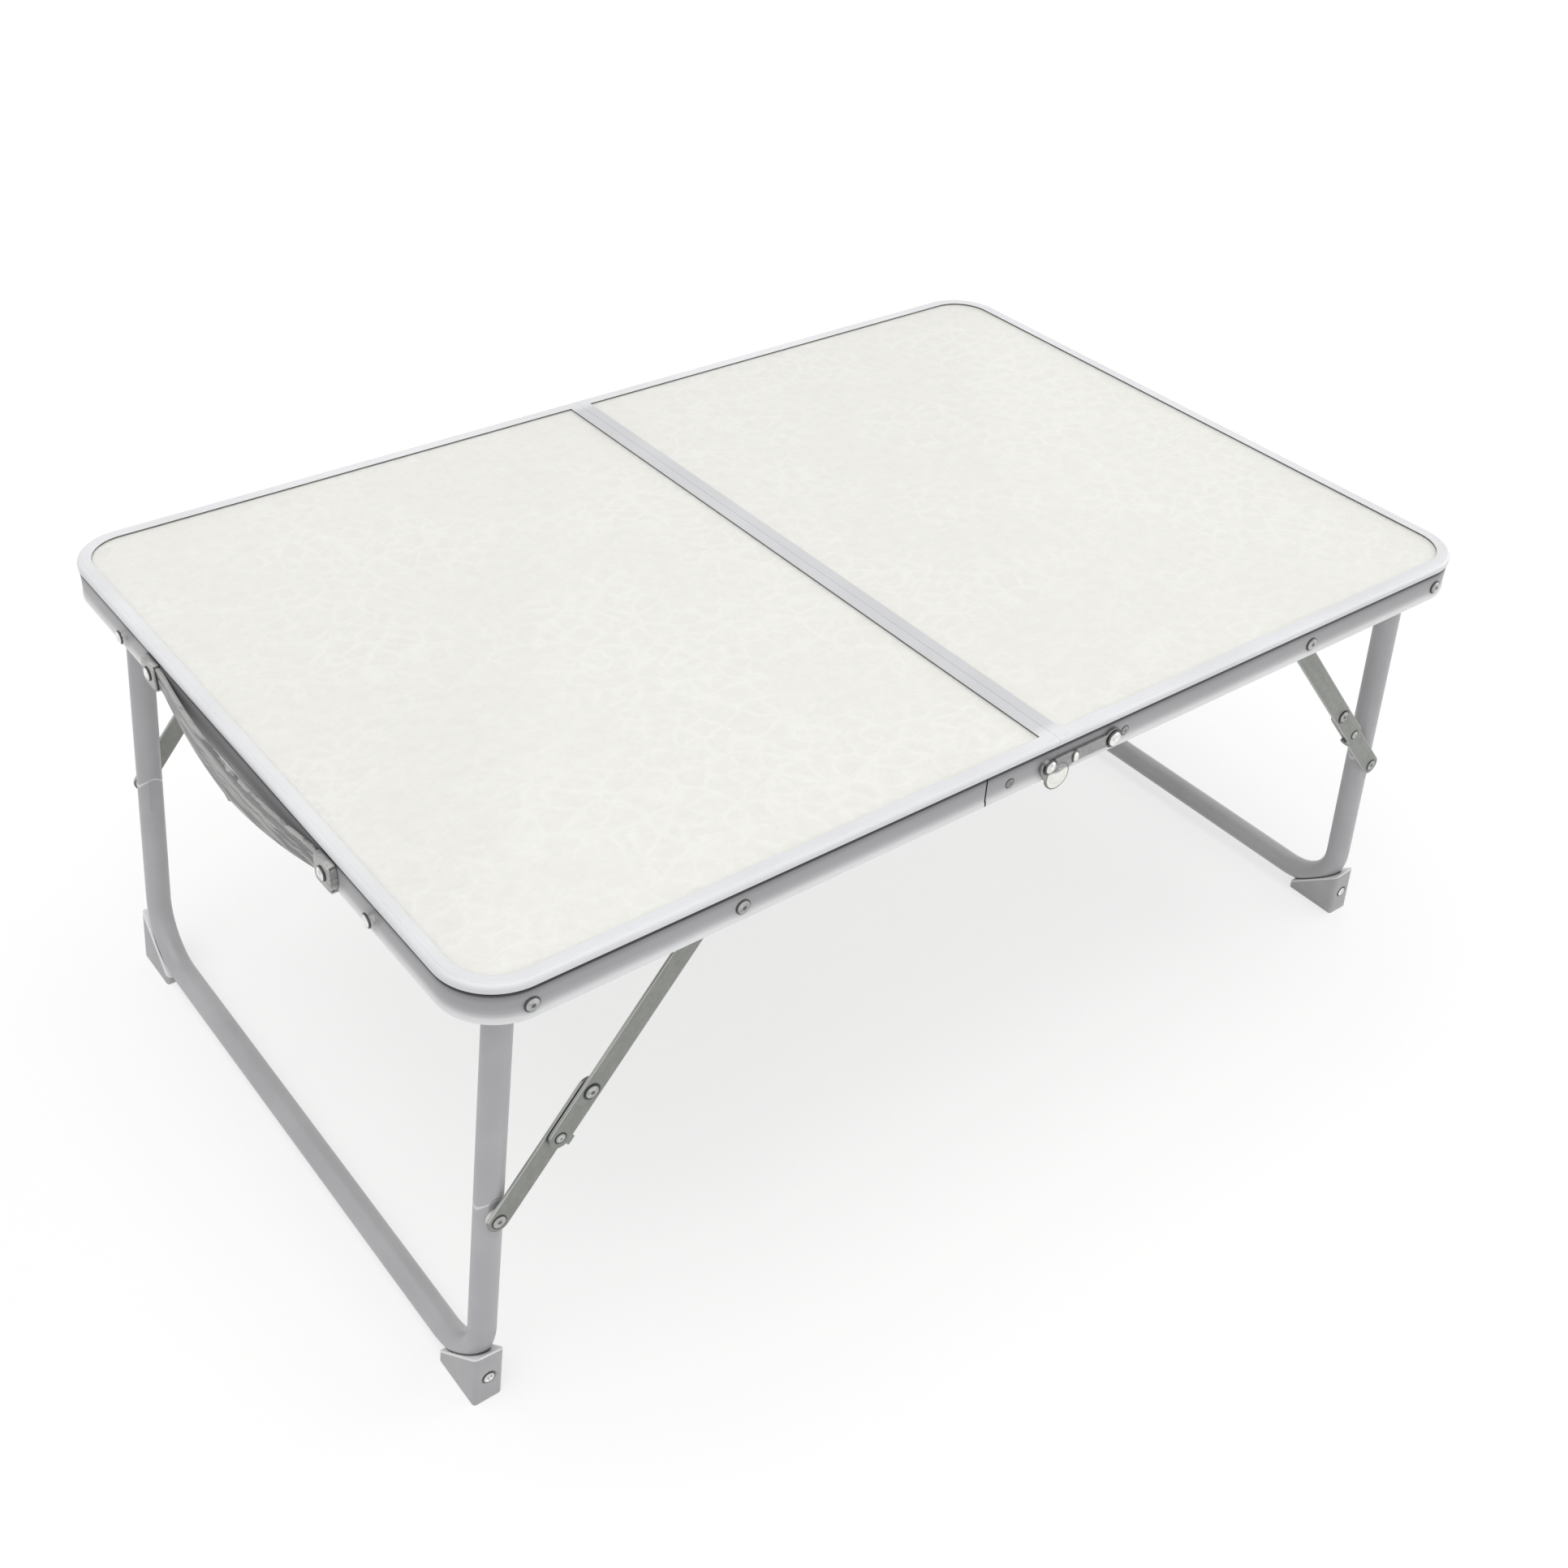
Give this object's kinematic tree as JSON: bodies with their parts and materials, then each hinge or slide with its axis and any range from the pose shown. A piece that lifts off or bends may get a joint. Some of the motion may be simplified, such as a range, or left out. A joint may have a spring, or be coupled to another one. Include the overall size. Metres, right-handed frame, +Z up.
{
  "type": "folding camping table",
  "caption": "Low folding camping table with a hinged two-part board top in a rounded aluminium edge, U-shaped tube legs, locking two-link stays, corner feet, hook latches and a carrying handle.",
  "frame": {"origin": "on the floor, under the middle of the top (the seam line at half the table's width)", "axes": "+X along the length, to the right from the handle end; +Y to the back; +Z up"},
  "size_m": [0.6132, 0.4076, 0.257],
  "materials": {
    "edge_strip": "satin anodised",
    "laminate_board": "fibreboard with a pale satin laminate",
    "zinc_steel": "zinc plated",
    "stay_steel": "bare bright steel",
    "bright_rivet": "polished",
    "pin_steel": "drawn wire",
    "screw_steel": "zinc plated",
    "hook_steel": "nickel plated",
    "leg_tube": "satin",
    "foot_plastic": "moulded grey",
    "nylon_bush": "natural nylon",
    "handle_plastic": "moulded grey with a wavy grain"
  },
  "bodies": {
    "left_half": {"left_edge_frame": "edge_strip", "left_board": "laminate_board", "left_strip_joiner": "zinc_steel", "left_hook_backing_plate": "zinc_steel", "left_flush_rivets": "bright_rivet", "left_leg_rivets": "bright_rivet", "left_leg_bushes": "nylon_bush", "left_stay_rail_rivets": "bright_rivet", "left_stay_rail_bushes": "nylon_bush", "left_hinge_leaves": "zinc_steel", "hinge_pins": "pin_steel", "left_latch_studs": "bright_rivet", "left_side_hook_rivet": "bright_rivet", "handle_strap": "handle_plastic", "handle_clips": "hook_steel", "handle_rivets": "bright_rivet"},
    "right_half": {"right_edge_frame": "edge_strip", "right_board": "laminate_board", "right_strip_joiner": "zinc_steel", "right_hook_backing_plate": "zinc_steel", "right_flush_rivets": "bright_rivet", "right_leg_rivets": "bright_rivet", "right_leg_bushes": "nylon_bush", "right_stay_rail_rivets": "bright_rivet", "right_stay_rail_bushes": "nylon_bush", "right_hinge_leaves": "zinc_steel", "right_latch_studs": "bright_rivet", "right_side_hook_rivet": "bright_rivet", "end_hook_rivets": "bright_rivet"},
    "left_leg": {"left_leg_tube": "leg_tube", "left_leg_sleeves": "nylon_bush", "left_foot_screws": "screw_steel", "left_front_foot": "foot_plastic", "left_back_foot": "foot_plastic"},
    "left_front_upper_stay": {"left_front_upper_link": "stay_steel", "left_front_knee_rivet": "bright_rivet"},
    "left_front_lower_stay": {"left_front_lower_link": "stay_steel", "left_front_end_rivet": "bright_rivet"},
    "left_back_upper_stay": {"left_back_upper_link": "stay_steel", "left_back_knee_rivet": "bright_rivet"},
    "left_back_lower_stay": {"left_back_lower_link": "stay_steel", "left_back_end_rivet": "bright_rivet"},
    "right_leg": {"right_leg_tube": "leg_tube", "right_leg_sleeves": "nylon_bush", "right_foot_screws": "screw_steel", "right_front_foot": "foot_plastic", "right_back_foot": "foot_plastic"},
    "right_front_upper_stay": {"right_front_upper_link": "stay_steel", "right_front_knee_rivet": "bright_rivet"},
    "right_front_lower_stay": {"right_front_lower_link": "stay_steel", "right_front_end_rivet": "bright_rivet"},
    "right_back_upper_stay": {"right_back_upper_link": "stay_steel", "right_back_knee_rivet": "bright_rivet"},
    "right_back_lower_stay": {"right_back_lower_link": "stay_steel", "right_back_end_rivet": "bright_rivet"},
    "front_hook": {"right_side_hook": "hook_steel"},
    "back_hook": {"left_side_hook": "hook_steel"},
    "front_end_latch": {"front_end_hook": "hook_steel"},
    "back_end_latch": {"back_end_hook": "hook_steel"}
  },
  "joints": [
    {"name": "top_fold", "type": "hinge", "parent": "left_half", "child": "right_half", "pos_m": [0, 0, 0.235], "axis": [0, 1, 0], "range_deg": [0, 95]},
    {"name": "left_leg_fold", "type": "hinge", "parent": "left_half", "child": "left_leg", "pos_m": [-0.2735, 0, 0.2444], "axis": [0, -1, 0], "range_deg": [0, 95.5]},
    {"name": "left_front_stay_rail_pivot", "type": "hinge", "parent": "left_half", "child": "left_front_upper_stay", "pos_m": [-0.175, -0.187, 0.2444], "axis": [0, -1, 0], "range_deg": [0, 131]},
    {"name": "left_front_stay_knee", "type": "hinge", "parent": "left_front_upper_stay", "child": "left_front_lower_stay", "pos_m": [-0.24073, -0.1845, 0.16774], "axis": [0, -1, 0], "range_deg": [-181, 0]},
    {"name": "left_back_stay_rail_pivot", "type": "hinge", "parent": "left_half", "child": "left_back_upper_stay", "pos_m": [-0.175, 0.187, 0.2444], "axis": [0, -1, 0], "range_deg": [0, 131]},
    {"name": "left_back_stay_knee", "type": "hinge", "parent": "left_back_upper_stay", "child": "left_back_lower_stay", "pos_m": [-0.24073, 0.1845, 0.16774], "axis": [0, -1, 0], "range_deg": [-181, 0]},
    {"name": "right_leg_fold", "type": "hinge", "parent": "right_half", "child": "right_leg", "pos_m": [0.2735, 0, 0.2444], "axis": [0, 1, 0], "range_deg": [0, 95.5]},
    {"name": "right_front_stay_rail_pivot", "type": "hinge", "parent": "right_half", "child": "right_front_upper_stay", "pos_m": [0.175, -0.187, 0.2444], "axis": [0, 1, 0], "range_deg": [0, 131]},
    {"name": "right_front_stay_knee", "type": "hinge", "parent": "right_front_upper_stay", "child": "right_front_lower_stay", "pos_m": [0.24073, -0.1845, 0.16774], "axis": [0, 1, 0], "range_deg": [-181, 0]},
    {"name": "right_back_stay_rail_pivot", "type": "hinge", "parent": "right_half", "child": "right_back_upper_stay", "pos_m": [0.175, 0.187, 0.2444], "axis": [0, 1, 0], "range_deg": [0, 131]},
    {"name": "right_back_stay_knee", "type": "hinge", "parent": "right_back_upper_stay", "child": "right_back_lower_stay", "pos_m": [0.24073, 0.1845, 0.16774], "axis": [0, 1, 0], "range_deg": [-181, 0]},
    {"name": "front_hook_pivot", "type": "hinge", "parent": "right_half", "child": "front_hook", "pos_m": [0.034, -0.201, 0.245], "axis": [0, -1, 0], "range_deg": [0, 95]},
    {"name": "back_hook_pivot", "type": "hinge", "parent": "left_half", "child": "back_hook", "pos_m": [-0.034, 0.201, 0.245], "axis": [0, 1, 0], "range_deg": [0, 95]},
    {"name": "front_end_hook_pivot", "type": "hinge", "parent": "right_half", "child": "front_end_latch", "pos_m": [0.301, -0.123, 0.245], "axis": [1, 0, 0], "range_deg": [0, 90]},
    {"name": "back_end_hook_pivot", "type": "hinge", "parent": "right_half", "child": "back_end_latch", "pos_m": [0.301, 0.123, 0.245], "axis": [-1, 0, 0], "range_deg": [0, 90]}
  ],
  "couplings": [
    {"joint": "left_front_stay_rail_pivot", "follows": "left_leg_fold", "ratio": 1.3677},
    {"joint": "left_front_stay_knee", "follows": "left_leg_fold", "ratio": -1.8848},
    {"joint": "left_back_stay_rail_pivot", "follows": "left_leg_fold", "ratio": 1.3677},
    {"joint": "left_back_stay_knee", "follows": "left_leg_fold", "ratio": -1.8848},
    {"joint": "right_front_stay_rail_pivot", "follows": "right_leg_fold", "ratio": 1.3677},
    {"joint": "right_front_stay_knee", "follows": "right_leg_fold", "ratio": -1.8848},
    {"joint": "right_back_stay_rail_pivot", "follows": "right_leg_fold", "ratio": 1.3677},
    {"joint": "right_back_stay_knee", "follows": "right_leg_fold", "ratio": -1.8848},
    {"joint": "front_hook_pivot", "follows": "top_fold", "ratio": 1},
    {"joint": "back_hook_pivot", "follows": "top_fold", "ratio": 1}
  ]
}
